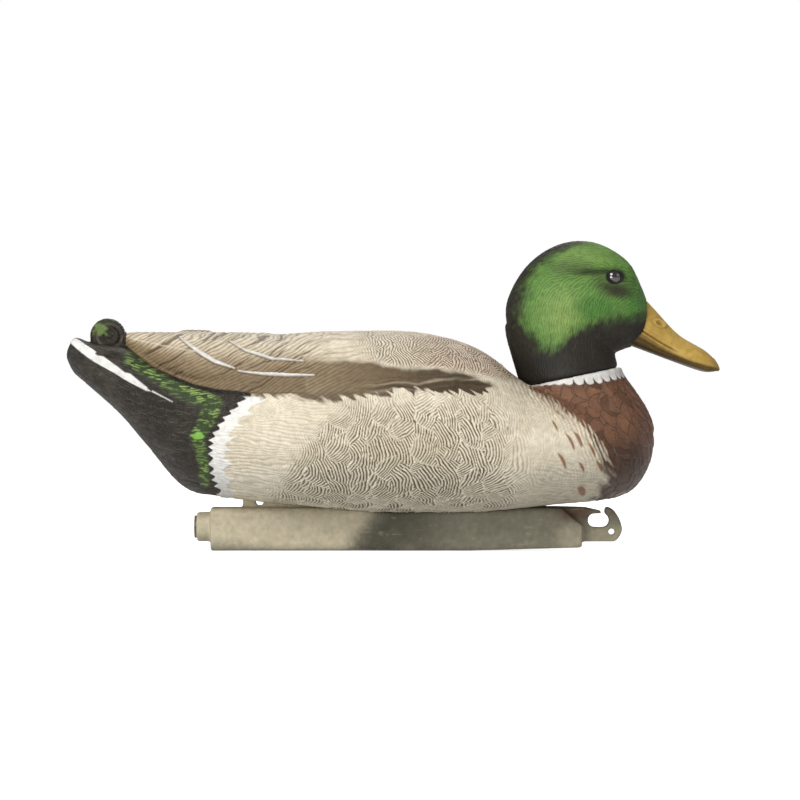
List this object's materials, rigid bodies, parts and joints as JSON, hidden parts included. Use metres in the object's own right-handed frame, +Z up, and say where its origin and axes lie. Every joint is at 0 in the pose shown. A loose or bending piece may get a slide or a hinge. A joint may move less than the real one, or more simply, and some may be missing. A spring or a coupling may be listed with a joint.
{
  "type": "floating duck decoy",
  "caption": "Floating drake decoy with a hollow moulded hull, a turning head and a sand-weighted keel that ends in a line hook.",
  "frame": {"origin": "middle of the overall length, on the flat underside of the keel", "axes": "+X towards the bill, +Y towards the duck's left side, +Z up; the sides mirror about Y = 0"},
  "size_m": [0.4401, 0.1659, 0.209],
  "materials": {
    "body_plastic": "painted blow-moulded polyethylene, matt, cream flanks, chestnut breast and brown wings",
    "head_plastic": "painted blow-moulded polyethylene, matt yellow-green with a dark nape",
    "bill_plastic": "painted plastic, satin ochre",
    "eye_plastic": "polished black acrylic",
    "keel_plastic": "painted polyethylene, cream with a grey-green overspray",
    "joint_plastic": "unpainted dark nylon",
    "plug_plastic": "soft polyethylene",
    "ring_rubber": "greased nitrile",
    "screw_steel": "stainless, plain",
    "ballast_sand": "dry packed sand"
  },
  "bodies": {
    "hull": {"body_shell": "body_plastic", "vent_plug": "plug_plastic", "neck_cup": "joint_plastic", "keel_shell": "keel_plastic", "keel_ballast": "ballast_sand", "keel_screws": "screw_steel"},
    "head": {"head_shell": "head_plastic", "bill": "bill_plastic", "left_eye": "eye_plastic", "right_eye": "eye_plastic", "head_stem": "joint_plastic", "friction_ring": "ring_rubber", "stem_screws": "screw_steel"},
    "plug": {"keel_plug": "plug_plastic"}
  },
  "joints": [
    {"name": "head_turn", "type": "hinge", "parent": "hull", "child": "head", "pos_m": [0.1206, 0, 0.1168], "axis": [-0.2062, 0, 0.9785], "range_deg": [-90, 90]},
    {"name": "keel_plug_pull", "type": "slide", "parent": "hull", "child": "plug", "axis": [-1, 0, 0], "range_m": [0, 0.012]}
  ]
}
